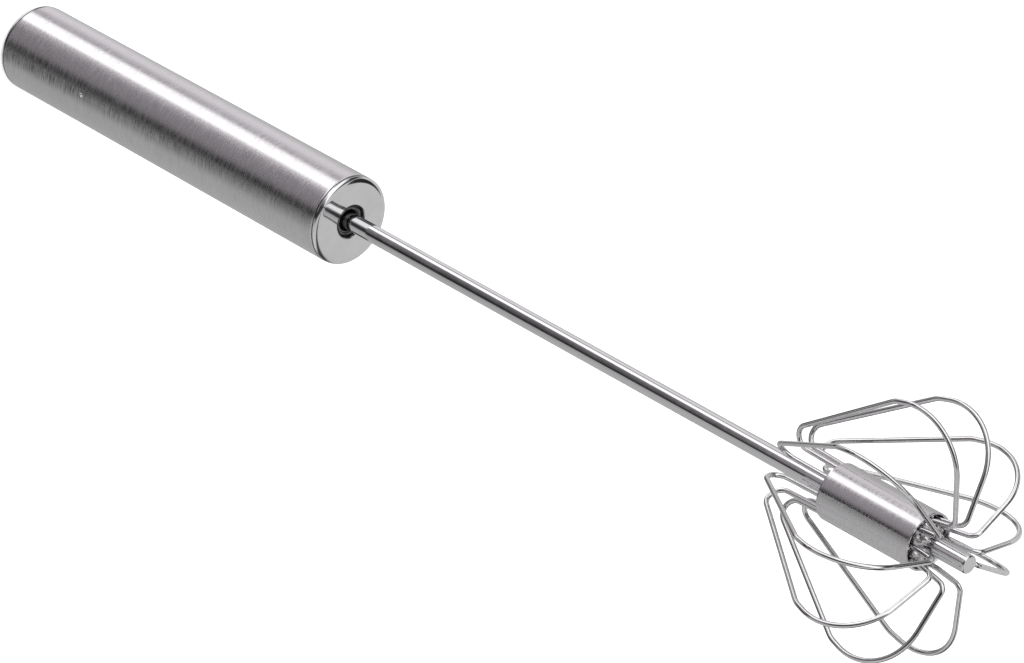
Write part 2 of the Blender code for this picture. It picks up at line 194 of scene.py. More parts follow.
class Shader:
    """A Principled material and a short way to add and join its nodes."""

    def __init__(self, name, colour, metallic, roughness, **values):
        self.material = bpy.data.materials.new(name)
        self.material.use_nodes = True
        self.tree = self.material.node_tree
        self.surface = self.tree.nodes["Principled BSDF"]
        self.set("Base Color", (*colour, 1.0))
        self.set("Metallic", metallic)
        self.set("Roughness", roughness)
        for key, value in values.items():
            self.set(key.replace("_", " "), value)

    def set(self, socket, value):
        self.surface.inputs[socket].default_value = value

    def node(self, kind, **settings):
        made = self.tree.nodes.new(kind)
        for key, value in settings.items():
            if key in made.inputs:
                made.inputs[key].default_value = value
            else:
                setattr(made, key, value)
        return made

    def join(self, source, target):
        self.tree.links.new(source, target)

    def grain(self, scale, stretch, detail=3.0, rough=0.6):
        """Noise in object space, in cycles per metre, stretched by a share along each axis."""
        place = self.node("ShaderNodeTexCoord")
        mapping = self.node("ShaderNodeMapping")
        mapping.inputs["Scale"].default_value = stretch
        texture = self.node("ShaderNodeTexNoise", Scale=scale, Detail=detail, Roughness=rough)
        self.join(place.outputs["Object"], mapping.inputs["Vector"])
        self.join(mapping.outputs["Vector"], texture.inputs["Vector"])
        return texture.outputs["Fac"]

    def between(self, source, low, high, start=0.3, end=0.7):
        """Maps a noise value from start..end to low..high."""
        spread = self.node("ShaderNodeMapRange")
        spread.inputs["From Min"].default_value = start
        spread.inputs["From Max"].default_value = end
        spread.inputs["To Min"].default_value = low
        spread.inputs["To Max"].default_value = high
        self.join(source, spread.inputs["Value"])
        return spread.outputs["Result"]

    def tint(self, source, low, high, start=0.3, end=0.7):
        """A colour that runs from low to high with a noise value."""
        ramp = self.node("ShaderNodeValToRGB")
        ramp.color_ramp.elements[0].position = start
        ramp.color_ramp.elements[0].color = (*low, 1.0)
        ramp.color_ramp.elements[1].position = end
        ramp.color_ramp.elements[1].color = (*high, 1.0)
        self.join(source, ramp.inputs["Fac"])
        self.join(ramp.outputs["Color"], self.surface.inputs["Base Color"])

    def bump(self, source, strength, distance):
        """Adds a bump of this depth in metres to the surface's normal, on top of any that is there."""
        made = self.node("ShaderNodeBump", Strength=strength, Distance=distance)
        self.join(source, made.inputs["Height"])
        normal = self.surface.inputs["Normal"]
        if normal.is_linked:
            self.join(normal.links[0].from_socket, made.inputs["Normal"])
        self.join(made.outputs["Normal"], normal)


def make_brushed_steel():
    """Stainless tube brushed round its circumference, which blurs what it mirrors along the tube."""
    steel = Shader("brushed_steel", (0.72, 0.70, 0.72), 1.0, 0.22,
                   Anisotropic=0.7, Anisotropic_Rotation=0.25)
    lines = steel.grain(3200.0, (0.09, 0.09, 2.0), 3.0, 0.65)
    wide = steel.grain(300.0, (0.12, 0.12, 1.0), 3.0, 0.6)
    steel.join(steel.between(lines, 0.13, 0.41, 0.36, 0.74), steel.surface.inputs["Roughness"])
    steel.tint(lines, (0.66, 0.645, 0.66), (0.80, 0.785, 0.80))
    steel.bump(wide, 0.02, 0.00002)
    steel.bump(lines, 0.05, 0.00001)
    tangent = steel.node("ShaderNodeTangent", direction_type="RADIAL", axis="Z")
    steel.join(tangent.outputs["Tangent"], steel.surface.inputs["Tangent"])
    return steel.material


def make_polished_steel():
    steel = Shader("polished_steel", (0.78, 0.78, 0.79), 1.0, 0.09)
    haze = steel.grain(260.0, (1.0, 1.0, 1.0), 5.0, 0.65)
    steel.join(steel.between(haze, 0.05, 0.13), steel.surface.inputs["Roughness"])
    steel.tint(haze, (0.74, 0.74, 0.75), (0.80, 0.80, 0.81))
    scratches = steel.grain(1500.0, (0.15, 0.15, 1.0), 2.0, 0.5)
    steel.bump(scratches, 0.06, 0.00001)
    return steel.material


def make_wire_steel():
    steel = Shader("wire_steel", (0.78, 0.77, 0.78), 1.0, 0.08)
    drawn = steel.grain(1100.0, (1.0, 1.0, 0.25), 3.0, 0.6)
    steel.join(steel.between(drawn, 0.05, 0.14), steel.surface.inputs["Roughness"])
    steel.tint(drawn, (0.72, 0.71, 0.72), (0.84, 0.83, 0.84))
    steel.bump(drawn, 0.06, 0.00002)
    return steel.material


def make_spring_steel():
    steel = Shader("spring_steel", (0.42, 0.43, 0.45), 1.0, 0.30)
    drawn = steel.grain(800.0, (1.0, 1.0, 0.5), 4.0, 0.6)
    steel.join(steel.between(drawn, 0.22, 0.40), steel.surface.inputs["Roughness"])
    steel.tint(drawn, (0.34, 0.35, 0.37), (0.48, 0.49, 0.51))
    steel.bump(drawn, 0.15, 0.00002)
    return steel.material


def make_weld_metal():
    weld = Shader("weld_metal", (0.72, 0.71, 0.71), 1.0, 0.30)
    beads = weld.grain(900.0, (1.0, 1.0, 1.0), 5.0, 0.65)
    stain = weld.grain(350.0, (1.0, 1.0, 1.0), 3.0, 0.6)
    weld.join(weld.between(beads, 0.16, 0.42), weld.surface.inputs["Roughness"])
    weld.tint(stain, (0.66, 0.64, 0.65), (0.94, 0.93, 0.93))
    weld.bump(beads, 0.5, 0.0001)
    return weld.material


def make_black_plastic():
    plastic = Shader("black_plastic", (0.02, 0.02, 0.022), 0.0, 0.15,
                     Coat_Weight=1.0, Coat_Roughness=0.06)
    grain = plastic.grain(900.0, (1.0, 1.0, 1.0), 3.0, 0.6)
    plastic.join(plastic.between(grain, 0.10, 0.24), plastic.surface.inputs["Roughness"])
    plastic.tint(grain, (0.014, 0.014, 0.015), (0.028, 0.028, 0.030))
    plastic.bump(grain, 0.03, 0.00002)
    return plastic.material


def make_white_plastic():
    plastic = Shader("white_plastic", (0.78, 0.77, 0.73), 0.0, 0.45, Subsurface_Weight=0.05)
    grain = plastic.grain(1200.0, (1.0, 1.0, 1.0), 3.0, 0.6)
    plastic.join(plastic.between(grain, 0.38, 0.55), plastic.surface.inputs["Roughness"])
    plastic.tint(grain, (0.74, 0.73, 0.69), (0.80, 0.79, 0.76))
    plastic.bump(grain, 0.2, 0.00003)
    return plastic.material


def make_black_rubber():
    rubber = Shader("black_rubber", (0.03, 0.03, 0.03), 0.0, 0.75)
    grain = rubber.grain(1500.0, (1.0, 1.0, 1.0), 4.0, 0.6)
    rubber.join(rubber.between(grain, 0.65, 0.85), rubber.surface.inputs["Roughness"])
    rubber.tint(grain, (0.02, 0.02, 0.02), (0.04, 0.04, 0.04))
    rubber.bump(grain, 0.3, 0.00005)
    return rubber.material


MATERIALS = {
    "brushed_steel": make_brushed_steel(),
    "polished_steel": make_polished_steel(),
    "wire_steel": make_wire_steel(),
    "spring_steel": make_spring_steel(),
    "weld_metal": make_weld_metal(),
    "black_plastic": make_black_plastic(),
    "white_plastic": make_white_plastic(),
    "black_rubber": make_black_rubber(),
}


def add_piece(mesh, body, slot, node, sharp=35.0):
    """Links a finished mesh under its own name, with its material and body, in place of a CAD node."""
    mesh.shade_smooth()
    mesh.set_sharp_from_angle(angle=math.radians(sharp))
    obj = bpy.data.objects.new(mesh.name, mesh)
    bpy.context.scene.collection.objects.link(obj)
    mesh.materials.append(MATERIALS[slot])
    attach(obj, body)
    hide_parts(node)
    return obj


# ---------------------------------------------------------------------------------------------
# Handle

TUBE_SEGMENTS = 192
TUBE_WALL = 0.6 * MM
TUBE_EDGE = 0.15 * MM
SEAM_GAP = 0.22 * MM
STAKE_AZIMUTH = math.radians(-63.8)
STAKE_HEIGHT = 33.0 * MM
STAKE_RADIUS = 0.48 * MM
STAKE_DEPTH = 0.34 * MM
STAKE_LIP = 0.05 * MM
# The finely meshed patch of tube round the stake: its reach, its rows and the cuts made in each face.
# Its points further out than SKIN of the handle's radius are on the outer face.
PATCH = 3.0 * STAKE_RADIUS
PATCH_ROWS = 14
PATCH_CUTS = 5
SKIN = 0.98


def stake_sink(distance):
    """How far the punched dimple moves the tube's surface inwards at a distance from its centre."""
    share = distance / STAKE_RADIUS
    if share < 1.0:
        return STAKE_DEPTH * (1 - share * share) - STAKE_LIP * share ** 4
    return -STAKE_LIP * math.exp(-((share - 1.0) * 3.0) ** 2)


def make_handle_tube():
    """The brushed tube, with a finer grid of points round the stake."""
    inner = HANDLE_RADIUS - TUBE_WALL
    edge = HANDLE_RADIUS - TUBE_EDGE
    top = TUBE_HIGH - SEAM_GAP
    bottom = TUBE_LOW + SEAM_GAP
    heights = [top - TUBE_EDGE - HOLD]
    heights += [STAKE_HEIGHT + PATCH * (1 - 2 * row / PATCH_ROWS) for row in range(PATCH_ROWS + 1)]
    heights.append(bottom + TUBE_EDGE + HOLD)
    profile = [(inner, top)]
    profile += arc(edge, top - TUBE_EDGE, TUBE_EDGE, 90, 0, 4)
    profile += [(HANDLE_RADIUS, height) for height in heights]
    profile += arc(edge, bottom + TUBE_EDGE, TUBE_EDGE, 0, -90, 4)
    profile += [(inner, bottom)]
    mesh = lathe("handle_tube_shell", profile, TUBE_SEGMENTS)
    centre = Vector((math.cos(STAKE_AZIMUTH), math.sin(STAKE_AZIMUTH), 0)) * HANDLE_RADIUS
    centre.z = STAKE_HEIGHT
    build = bmesh.new()
    build.from_mesh(mesh)
    near = [face for face in build.faces if (face.calc_center_median() - centre).length < PATCH]
    edges = list({edge for face in near for edge in face.edges})
    bmesh.ops.subdivide_edges(build, edges=edges, cuts=PATCH_CUTS, use_grid_fill=True)
    for vert in build.verts:
        outward = Vector((vert.co.x, vert.co.y, 0))
        if outward.length < HANDLE_RADIUS * SKIN:
            continue
        distance = (vert.co - centre).length
        if distance < PATCH:
            radius = HANDLE_RADIUS - stake_sink(distance)
            vert.co.x, vert.co.y = outward.normalized().xy * radius
    build.to_mesh(mesh)
    build.free()
    add_piece(mesh, "handle", "brushed_steel", "handle_tube", sharp=50.0)


CAP_SEGMENTS = 160
CAP_ROUND = 0.9 * MM
CAP_ROUND_WIDTH = 1.6 * MM
CAP_INSET = 0.08 * MM
CAP_THICKNESS = 1.4 * MM
CAP_WALL = 0.8 * MM
CAP_CHAMFER = 0.3 * MM
CAP_MIDDLE_RING = 0.6
SPIGOT_GAP = 0.1 * MM
HOLE_RADIUS = 4.15 * MM
HOLE_EDGE = 0.22 * MM


def cap_outline(radius, hole):
    """A pressed cap with its polished face at height 0 and its spigot below."""
    spigot = HANDLE_RADIUS - TUBE_WALL - SPIGOT_GAP
    depth = PLATE_FACE - PLATE_LOW
    outline = []
    if hole:
        outline += arc(hole + HOLE_EDGE, -HOLE_EDGE, HOLE_EDGE, 180, 90, 6)
    else:
        outline += [(0.0, 0.0)]
    rim = radius - CAP_ROUND_WIDTH
    outline += [(radius * CAP_MIDDLE_RING, 0.0), (rim - HOLD, 0.0)]
    for r, z in arc(0.0, 0.0, 1.0, 90, 0, 24):
        outline.append((rim + r * CAP_ROUND_WIDTH, (z - 1.0) * CAP_ROUND))
    outline += [
        (radius - CAP_INSET, -CAP_ROUND - CAP_INSET),
        (spigot, -CAP_ROUND - CAP_INSET),
        (spigot, -depth + CAP_CHAMFER),
        (spigot - CAP_CHAMFER, -depth),
        (spigot - CAP_WALL, -depth),
        (spigot - CAP_WALL, -CAP_THICKNESS),
        (hole, -CAP_THICKNESS),
    ]
    return outline


def make_caps():
    plate = [(r, PLATE_FACE + z) for r, z in cap_outline(PLATE_RADIUS, HOLE_RADIUS)]
    add_piece(lathe("front_plate_polished", plate, CAP_SEGMENTS), "handle", "polished_steel",
              "front_plate")
    rear = [(r, -z) for r, z in reversed(cap_outline(CAP_RADIUS, 0.0))]
    add_piece(lathe("rear_cap_polished", rear, CAP_SEGMENTS), "handle", "polished_steel", "rear_cap")


BUSH_BORE = 2.6 * MM
BUSH_CLEARANCE = 0.25 * MM
BUSH_SEAT_GAP = 0.05 * MM


def make_bush():
    """The black moulded bush: a flange behind the plate and a nose with a round lip in its hole."""
    nose = HOLE_RADIUS - BUSH_CLEARANCE
    lip = (nose - BUSH_BORE) / 2
    shoulder = PLATE_FACE - CAP_THICKNESS - BUSH_SEAT_GAP
    outline = arc(BUSH_BORE + lip, BUSH_FACE - lip, lip, 180, 0, 14)
    outline += [(nose, shoulder), (BUSH_RADIUS, shoulder)]
    outline += [(BUSH_RADIUS, BUSH_LOW), (BUSH_BORE, BUSH_LOW)]
    add_piece(lathe("guide_bush_moulded", outline, SEGMENTS), "handle", "black_plastic", "guide_bush")


# ---------------------------------------------------------------------------------------------
# Shaft and whisk head

SHAFT_EDGE = 0.35 * MM
SHAFT_BORE = 1.7 * MM
SHAFT_SOLID_END = 12.0 * MM


def make_shaft():
    """The polished tube, solid at its tip."""
    edge = SHAFT_EDGE
    bore_end = SHAFT_TIP - SHAFT_SOLID_END
    outline = [(0.0, SHAFT_TIP)]
    outline += arc(SHAFT_RADIUS - edge, SHAFT_TIP - edge, edge, 90, 0, 9)
    outline += [(SHAFT_RADIUS, SHAFT_TIP - edge - HOLD), (SHAFT_RADIUS, SHAFT_LOW)]
    outline += [(SHAFT_BORE, SHAFT_LOW), (SHAFT_BORE, bore_end), (0.0, bore_end)]
    add_piece(lathe("shaft_polished", outline, SEGMENTS), "shaft", "polished_steel", "shaft_tube")


FERRULE_SEGMENTS = 128
FERRULE_WALL = 0.5 * MM
FERRULE_EDGE = 0.12 * MM


def make_ferrule():
    """The brushed sleeve that holds the wires' ends."""
    edge = FERRULE_EDGE
    inner = FERRULE_RADIUS - FERRULE_WALL
    outline = [(inner, FERRULE_HIGH - edge), (inner + edge, FERRULE_HIGH)]
    outline += arc(FERRULE_RADIUS - edge, FERRULE_HIGH - edge, edge, 90, 0, 3)
    outline.append((FERRULE_RADIUS, FERRULE_HIGH - edge - HOLD))
    outline.append((FERRULE_RADIUS, FERRULE_LOW + edge + HOLD))
    outline += arc(FERRULE_RADIUS - edge, FERRULE_LOW + edge, edge, 0, -90, 3)
    outline += [(inner + edge, FERRULE_LOW), (inner, FERRULE_LOW + edge)]
    add_piece(lathe("ferrule_sleeve", outline, FERRULE_SEGMENTS), "shaft", "brushed_steel", "ferrule")


WIRE_RADIUS = 0.6 * MM
WIRE_SIDES = 16
WIRE_BEND_STEP = 4.0
WIRE_SEAT_RADIUS = 5.15
# Each loop's azimuth in degrees, and how far it is shifted along the shaft in millimetres.
WIRE_LOOPS = (
    (4.0, 1.1),
    (42.0, 1.9),
    (96.0, 1.2),
    (117.5, 0.8),
    (149.5, -0.1),
    (187.0, -0.9),
    (216.0, -1.0),
    (253.0, -1.1),
    (296.5, -0.3),
    (331.5, -0.5),
)
# The outline that the loops share, in millimetres: each corner's radius and its height over the
# ferrule's low end, and the radius of each bend.
LOOP_CORNERS = (
    (WIRE_SEAT_RADIUS, 7.0),
    (6.0, -17.3),
    (27.2, 13.9),
    (31.9, 31.0),
    (6.3, 33.5),
    (WIRE_SEAT_RADIUS, 27.0),
    (WIRE_SEAT_RADIUS, 17.0),
)
LOOP_BENDS = (2.8, 6.0, 12.6, 2.0, 8.0)


def make_wires():
    """The ten loops. Each one's two ends stay at their height in the ferrule as the rest is shifted."""
    outline = filleted(LOOP_CORNERS, LOOP_BENDS, WIRE_BEND_STEP)
    last = len(outline) - 1
    for number, (azimuth, shift) in enumerate(WIRE_LOOPS, start=1):
        direction = Vector((math.cos(math.radians(azimuth)), math.sin(math.radians(azimuth)), 0))
        points = []
        for index, (radius, height) in enumerate(outline):
            lift = FERRULE_LOW + (height + (shift if 0 < index < last else 0.0)) * MM
            points.append(direction * radius * MM + Vector((0, 0, lift)))
        mesh = sweep(f"loop_{number:02d}", points, WIRE_RADIUS, WIRE_SIDES)
        add_piece(mesh, "shaft", "wire_steel", f"whisk_wire_{number:02d}", sharp=60.0)


BLOB_VOXEL = 0.14 * MM
BLOB_SMOOTHING = 3
BLOB_SMOOTH_SHARE = 0.5


def joined_blobs(name, blobs):
    """Overlapping balls, as (centre, radius, squash along Z), melted into one closed lumpy mesh."""
    build = bmesh.new()
    for centre, radius, squash in blobs:
        ball = bmesh.ops.create_icosphere(build, subdivisions=3, radius=radius)["verts"]
        bmesh.ops.scale(build, vec=(1, 1, squash), verts=ball)
        bmesh.ops.translate(build, vec=centre, verts=ball)
    rough = bpy.data.meshes.new(name)
    build.to_mesh(rough)
    build.free()
    mould = bpy.data.objects.new(name, rough)
    bpy.context.scene.collection.objects.link(mould)
    remesh = mould.modifiers.new("melt", "REMESH")
    remesh.mode = "VOXEL"
    remesh.voxel_size = BLOB_VOXEL
    smooth = mould.modifiers.new("settle", "SMOOTH")
    smooth.factor = BLOB_SMOOTH_SHARE
    smooth.iterations = BLOB_SMOOTHING
    graph = bpy.context.evaluated_depsgraph_get()
    mesh = bpy.data.meshes.new_from_object(mould.evaluated_get(graph))
    bpy.data.objects.remove(mould)
    bpy.data.meshes.remove(rough)
    mesh.name = name
    return mesh


def ring_place(radius, degrees, height):
    angle = math.radians(degrees)
    return Vector((radius * math.cos(angle), radius * math.sin(angle), height))


BEADS = 11
BEAD_SIZE = 0.85 * MM
BEAD_RADIUS = SHAFT_RADIUS + 0.35 * MM
SKIRT_RADIUS = SHAFT_RADIUS + 0.9 * MM
SKIRT_LIFT = 0.6 * MM
SKIRT_TURN = 14.0
TACK_RADIUS = SHAFT_RADIUS + 1.7 * MM
TACK_TURN = 6.0
MOUTH_BEADS = 22
MOUTH_BEAD_SIZE = 0.8 * MM
MOUTH_BEAD_RADIUS = FERRULE_RADIUS - 1.45 * MM


def wavy(index, pace, reach):
    """An uneven offset that is the same each run."""
    return reach * math.sin(pace * index)


def make_weld():
    """Two rows of beads round the foot of the shaft, a tack at each wire, and the ferrule's mouth."""
    blobs = []
    for index in range(BEADS):
        degrees = 360.0 * index / BEADS + wavy(index, 2.7, 9.0)
        size = BEAD_SIZE * (1.0 + wavy(index, 5.1, 0.22))
        height = WELD_LOW + (1.5 + wavy(index, 3.3, 0.5)) * MM
        blobs.append((ring_place(BEAD_RADIUS, degrees, height), size, 1.5))
        blobs.append((ring_place(SKIRT_RADIUS, degrees + SKIRT_TURN, WELD_LOW + SKIRT_LIFT), size, 0.9))
    for index, (azimuth, shift) in enumerate(WIRE_LOOPS):
        size = BEAD_SIZE * (0.95 + wavy(index, 4.3, 0.2))
        height = WELD_LOW + (0.9 + 0.35 * shift) * MM
        blobs.append((ring_place(TACK_RADIUS, azimuth + TACK_TURN, height), size, 1.2))
    for index in range(MOUTH_BEADS):
        degrees = 360.0 * index / MOUTH_BEADS + wavy(index, 1.9, 5.0)
        height = FERRULE_HIGH - (1.6 + wavy(index, 2.3, 0.5)) * MM
        size = MOUTH_BEAD_SIZE * (1.0 + wavy(index, 3.7, 0.12))
        blobs.append((ring_place(MOUTH_BEAD_RADIUS, degrees, height), size, 1.0))
    add_piece(joined_blobs("weld_beads", blobs), "shaft", "weld_metal", "weld_ring", sharp=80.0)


CORE_BORE = SHAFT_RADIUS + 0.05 * MM
CORE_RINGS = 7
CORE_RIDGE = 0.45 * MM
CORE_RIDGE_SCALE = 900.0
CORE_SWELL = 0.03
CORE_SWELL_SCALE = 500.0


def make_core():
    """The core of the head, whose two ends are uneven where the weld has run between the wires."""
    spread = CORE_RADIUS - CORE_BORE
    steps = [CORE_BORE + spread * step / CORE_RINGS for step in range(CORE_RINGS + 1)]
    outline = [(radius, CORE_HIGH) for radius in steps]
    outline += [(radius, CORE_LOW) for radius in reversed(steps)]

    def uneven(radius, angle, height):
        if radius <= CORE_BORE:
            return radius, height
        spot = Vector((radius * math.cos(angle), radius * math.sin(angle), height))
        outward = 1.0 + CORE_SWELL * noise.noise(spot * CORE_SWELL_SCALE)
        return radius * outward, height + CORE_RIDGE * noise.noise(spot * CORE_RIDGE_SCALE)

    add_piece(lathe("core_filler", outline, SEGMENTS, uneven), "shaft", "weld_metal", "ferrule_core",
              sharp=60.0)


# ---------------------------------------------------------------------------------------------
# The works inside the handle

WORKS_BORE = {
    "bumper_ring": 2.6 * MM,
    "anchor_washer": 1.75 * MM,
    "spring_seat_washer": 1.75 * MM,
    "thrust_washer": 3.5 * MM,
    "slider_collar": 2.4 * MM,
    "stop_collar": 2.4 * MM,
}
WORKS_ROUND = 0.18 * MM
RUBBER_ROUND = 0.6 * MM


def slot_of(node):
    return next(row["material_slot"] for row in frame["record"]["subparts"] if row["node"] == node)


def body_of(node):
    return next(body for body, members in BEHAVIOUR["bodies"].items() if node in members)


def make_rings():
    """Washers, collars and the bumper, each a ring with its edges rounded."""
    for node, bore in WORKS_BORE.items():
        low, high, outer = span(node)
        slot = slot_of(node)
        edge = RUBBER_ROUND if slot == "black_rubber" else WORKS_ROUND
        outline = arc(outer - edge, high - edge, edge, 90, 0, 5)
        outline += arc(outer - edge, low + edge, edge, 0, -90, 5)
        outline += arc(bore + edge, low + edge, edge, 270, 180, 5)
        outline += arc(bore + edge, high - edge, edge, 180, 90, 5)
        add_piece(lathe(node + "_turned", outline, SEGMENTS), body_of(node), slot, node)


SPRING_WIRE_RADIUS = 0.4 * MM
SPRING_TURNS = 12
SPRING_SOLID_PITCH = 1.0 * MM
SPRING_STEPS = 40
SPRING_SIDES = 12


def make_spring():
    """The return spring, with a closed turn at each end and its lower end the fixed one."""
    low = SPRING_LOW + SPRING_WIRE_RADIUS
    high = SPRING_HIGH - SPRING_WIRE_RADIUS
    coil = SPRING_OUTER - SPRING_WIRE_RADIUS
    pitch = (high - low - 2 * SPRING_SOLID_PITCH) / (SPRING_TURNS - 2)
    points = []
    for step in range(SPRING_TURNS * SPRING_STEPS + 1):
        turn = step / SPRING_STEPS
        closed = min(turn, 1.0) + max(0.0, turn - (SPRING_TURNS - 1))
        height = low + closed * SPRING_SOLID_PITCH + (turn - closed) * pitch
        points.append(ring_place(coil, 360.0 * turn, height))
    mesh = sweep("spring_coil", points, SPRING_WIRE_RADIUS, SPRING_SIDES)
    spring = add_piece(mesh, "handle", "spring_steel", "return_spring", sharp=60.0)
    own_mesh(spring)


SPINDLE_WIDTH = 2.6 * MM
SPINDLE_THICKNESS = 0.8 * MM
SPINDLE_PITCH = 22.0 * MM
SPINDLE_TWIST_START = 46.0 * MM
SPINDLE_HEAD_HEIGHT = 1.4 * MM
SPINDLE_EDGE = 0.12 * MM
SPINDLE_STEPS = 200


def spindle_section(width, height):
    """The strip's outline at a height: a flat with its corners taken off, turned by the twist there."""
    turn = 2 * math.pi * max(0.0, height - SPINDLE_TWIST_START) / SPINDLE_PITCH
    across = width / 2
    thick = SPINDLE_THICKNESS / 2
    corners = [
        (across, thick - SPINDLE_EDGE), (across - SPINDLE_EDGE, thick),
        (SPINDLE_EDGE - across, thick), (-across, thick - SPINDLE_EDGE),
        (-across, SPINDLE_EDGE - thick), (SPINDLE_EDGE - across, -thick),
        (across - SPINDLE_EDGE, -thick), (across, SPINDLE_EDGE - thick),
    ]
    rotation = Matrix.Rotation(turn, 2)
    return [Vector((*(rotation @ Vector(corner)), height)) for corner in corners]


def make_spindle():
    """The twisted strip with its T head, as a loft of one outline after another."""
    sections = [
        spindle_section(2 * SPINDLE_HALF, SPINDLE_LOW),
        spindle_section(2 * SPINDLE_HALF, SPINDLE_LOW + SPINDLE_HEAD_HEIGHT),
        spindle_section(SPINDLE_WIDTH, SPINDLE_LOW + SPINDLE_HEAD_HEIGHT),
    ]
    for step in range(SPINDLE_STEPS + 1):
        height = SPINDLE_TWIST_START + (SPINDLE_HIGH - SPINDLE_TWIST_START) * step / SPINDLE_STEPS
        sections.append(spindle_section(SPINDLE_WIDTH, height))
    build = bmesh.new()
    rings = [[build.verts.new(point) for point in section] for section in sections]
    for lower, upper in zip(rings, rings[1:]):
        for step in range(len(lower)):
            after = (step + 1) % len(lower)
            build.faces.new([lower[step], lower[after], upper[after], upper[step]])
    build.faces.new(rings[0][::-1])
    build.faces.new(rings[-1])
    bmesh.ops.recalc_face_normals(build, faces=build.faces)
    mesh = bpy.data.meshes.new("spindle_strip")
    build.to_mesh(mesh)
    build.free()
    add_piece(mesh, "handle", "spring_steel", "drive_spindle")


make_handle_tube()
make_caps()
make_bush()
make_shaft()
make_ferrule()
make_wires()
make_weld()
make_core()
make_rings()
make_spring()
make_spindle()

for cad_name, cad_object in frame["nodes"].items():
    cad_object.data.materials.clear()
    cad_object.data.materials.append(MATERIALS[slot_of(cad_name)])


# ---------------------------------------------------------------------------------------------
# Studio: a plain pale floor, soft light and the camera

FLOOR_SIZE = 8.0
FLOOR_DROP = 0.3 * MM
FLOOR_PAINT = (0.94, 0.94, 0.94, 1.0)
FLOOR_ROUGHNESS = 0.9
FLOOR_GLOW = 0.4


def make_floor():
    """A plain pale floor just under the object, which metal doesn't mirror."""
    bpy.ops.mesh.primitive_plane_add(size=FLOOR_SIZE, location=(0, 0, -FLOOR_DROP))
    floor = bpy.context.object
    floor.name = "floor"
    material = bpy.data.materials.new("floor_paint")
    material.use_nodes = True
    shader = material.node_tree.nodes["Principled BSDF"]
    shader.inputs["Base Color"].default_value = FLOOR_PAINT
    shader.inputs["Roughness"].default_value = FLOOR_ROUGHNESS
    shader.inputs["Emission Color"].default_value = (1.0, 1.0, 1.0, 1.0)
    shader.inputs["Emission Strength"].default_value = FLOOR_GLOW
    floor.data.materials.append(material)
    floor.visible_glossy = False


# What polished metal mirrors, as a product tent with black cards gives. Each band is an azimuth in
# degrees from -Y towards +X, a brightness, and its green against its red and blue. One ring of bands
# lies below the horizon and one above it.
LOW_BANDS = (
    (-180.0, 0.50, 1.0),
    (-150.0, 0.58, 1.0),
    (-122.0, 0.90, 0.97),
    (-106.0, 0.84, 0.96),
    (-93.0, 0.52, 0.96),
    (-80.0, 0.46, 0.96),
    (-73.0, 1.70, 1.0),
    (-48.0, 1.70, 1.0),
    (-42.0, 0.30, 0.94),
    (-20.0, 0.14, 0.93),
    (4.0, 0.10, 0.93),
    (20.0, 0.05, 0.97),
    (30.0, 0.025, 0.97),
    (48.0, 0.02, 1.0),
    (60.0, 0.40, 1.0),
    (110.0, 0.46, 1.0),
    (180.0, 0.50, 1.0),
)
HIGH_BANDS = (
    (-180.0, 0.62, 1.0),
    (-120.0, 0.70, 1.0),
    (-106.0, 0.05, 1.0),
    (-90.0, 0.05, 1.0),
    (-74.0, 1.30, 1.0),
    (-30.0, 1.30, 1.0),
    (-12.0, 0.30, 0.95),
    (2.0, 0.04, 0.95),
    (32.0, 0.04, 0.95),
    (48.0, 0.55, 1.0),
    (100.0, 0.68, 1.0),
    (114.0, 0.06, 1.0),
    (134.0, 0.06, 1.0),
    (150.0, 0.60, 1.0),
    (180.0, 0.62, 1.0),
)
# Light added to the low bands where the handle and the ferrule mirror them: under the heights that the
# shaft mirrors, and over them.
BOUNCE_BANDS = (
    (-180.0, 0.0, 1.0),
    (-50.0, 0.0, 1.0),
    (-36.0, 0.38, 0.93),
    (0.0, 0.36, 0.93),
    (10.0, 0.32, 0.93),
    (22.0, 0.0, 1.0),
    (180.0, 0.0, 1.0),
)
BOUNCE_RISE = (-0.765, -0.69)
BOUNCE_FALL = (-0.69, -0.67)
BOUNCE_RETURN = (-0.595, -0.570)
LOW_HORIZON = -0.40
HIGH_HORIZON = -0.15
# The low bands close in on the middle as they rise: those past TURN by the second pair of widths, which
# count from TURN, and the others by the first pair.
TURN = math.radians(28.0)
NEAR_LEVELS = (-0.80, -0.50)
NEAR_WIDTHS = (1.18, 0.64)
FAR_LEVELS = (-0.75, -0.61)
FAR_WIDTHS = (1.75, 0.28)
# Under the bands the tent glows dimly, and it is open and dark straight below.
GLOW_LEVELS = (-0.90, -0.80)
GLOW = 0.42
NADIR_LEVELS = (-0.985, -0.955)
# One round black card with its foot cut off hangs behind the object.
CARD_AZIMUTH = math.radians(-143.0)
CARD_HEIGHT = math.radians(37.0)
CARD_REACH = (math.cos(math.radians(22.0)), math.cos(math.radians(19.0)))
CARD_FOOT = (0.46, 0.50)
NEAR_BLACK = (0.02, 1.0)


def grey(level, green):
    return (level, level * green, level, 1.0)


